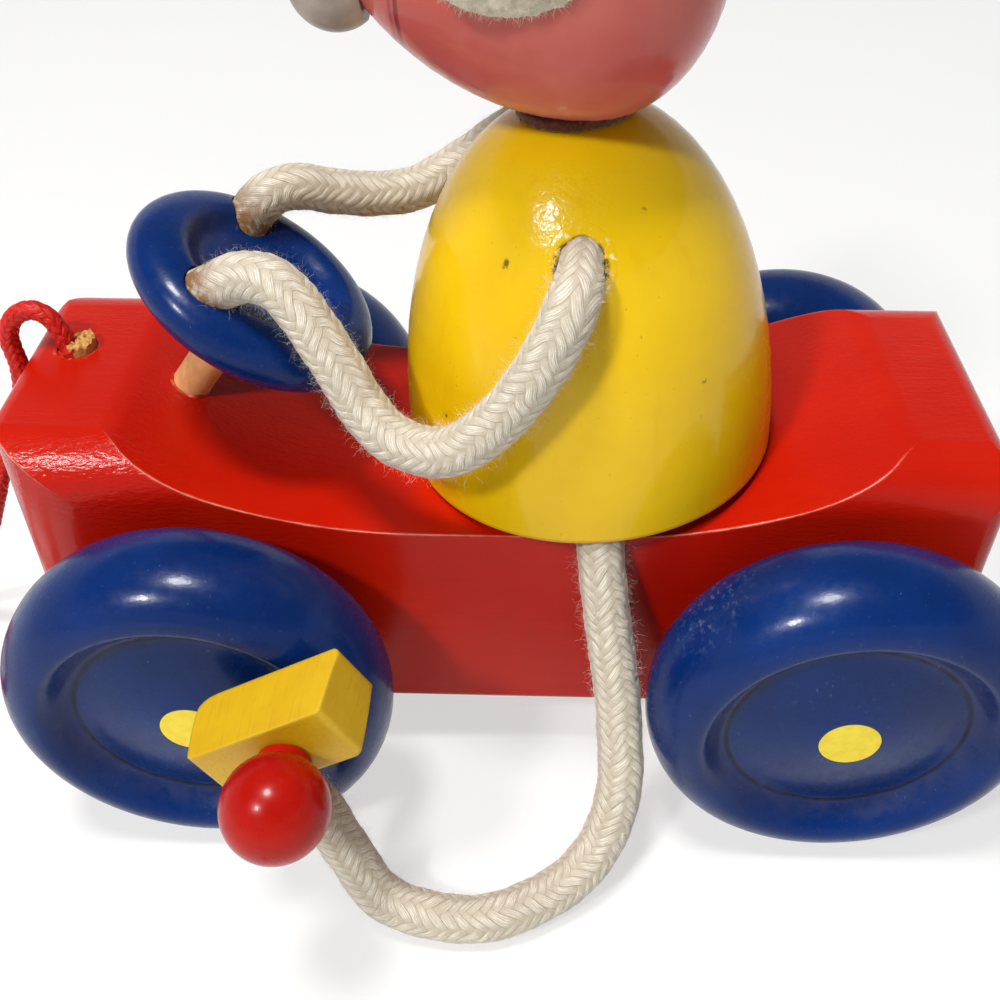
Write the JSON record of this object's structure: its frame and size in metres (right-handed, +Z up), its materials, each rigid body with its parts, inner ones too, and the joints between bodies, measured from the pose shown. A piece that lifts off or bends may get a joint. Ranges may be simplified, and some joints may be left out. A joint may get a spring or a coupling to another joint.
{
  "type": "wheeled pull toy",
  "caption": "Wooden pull-along car with a round driver whose rope legs pedal from cranks on the front wheels as it rolls; rope arms hold a steering wheel.",
  "frame": {"origin": "on the floor, midway along the car from nose to rear wheel and midway between the left and right pedal balls", "axes": "+X forward, to the nose of the car; +Y to the driver's left; +Z up"},
  "size_m": [0.2995, 0.1956, 0.1968],
  "materials": {
    "red_paint": "gloss red paint on wood",
    "blue_paint": "gloss dark blue paint on turned wood",
    "yellow_paint": "gloss yellow paint on turned wood",
    "shoe_paint": "satin yellow paint on wood",
    "pink_paint": "gloss pink paint on turned wood",
    "grey_paint": "gloss grey paint on a wooden ball",
    "bare_wood": "bare beech",
    "limb_rope": "off-white braided cotton rope",
    "red_cord": "red braided cord",
    "plush": "grey-beige plush",
    "felt": "brown felt",
    "eye_black": "black bead"
  },
  "bodies": {
    "car": {"car_body": "red_paint", "left_leg_rope": "limb_rope", "right_leg_rope": "limb_rope", "left_arm_rope": "limb_rope", "right_arm_rope": "limb_rope", "steering_wheel": "blue_paint", "steering_column": "bare_wood", "torso": "yellow_paint", "torso_dowel": "bare_wood", "neck_washer": "felt", "neck_dowel": "bare_wood", "head": "pink_paint", "nose": "grey_paint", "nose_dowel": "bare_wood", "left_ear": "plush", "right_ear": "plush", "left_eye": "eye_black", "right_eye": "eye_black", "pull_cord": "red_cord", "pull_cord_coil": "red_cord", "pull_cord_knot": "red_cord", "cord_peg": "bare_wood"},
    "front_wheels": {"front_axle": "yellow_paint", "front_left_wheel": "blue_paint", "front_right_wheel": "blue_paint", "left_crank_pin": "red_paint", "right_crank_pin": "red_paint", "left_pedal_ball": "red_paint", "right_pedal_ball": "red_paint"},
    "rear_wheels": {"rear_axle": "yellow_paint", "rear_left_wheel": "blue_paint", "rear_right_wheel": "blue_paint"},
    "left_foot": {"left_shoe": "shoe_paint"},
    "right_foot": {"right_shoe": "shoe_paint"}
  },
  "joints": [
    {"name": "front_axle_spin", "type": "hinge", "parent": "car", "child": "front_wheels", "pos_m": [0.0632, 0, 0.039], "axis": [0, 1, 0], "continuous": true, "deforming": ["left_leg_rope", "right_leg_rope"]},
    {"name": "rear_axle_spin", "type": "hinge", "parent": "car", "child": "rear_wheels", "pos_m": [-0.0662, 0, 0.039], "axis": [0, 1, 0], "continuous": true},
    {"name": "left_shoe_pivot", "type": "hinge", "parent": "front_wheels", "child": "left_foot", "pos_m": [0.0396, 0.0712, 0.0548], "axis": [0, 1, 0], "continuous": true, "deforming": ["left_leg_rope"]},
    {"name": "right_shoe_pivot", "type": "hinge", "parent": "front_wheels", "child": "right_foot", "pos_m": [0.0868, -0.0712, 0.0232], "axis": [0, 1, 0], "continuous": true, "deforming": ["right_leg_rope"]}
  ]
}
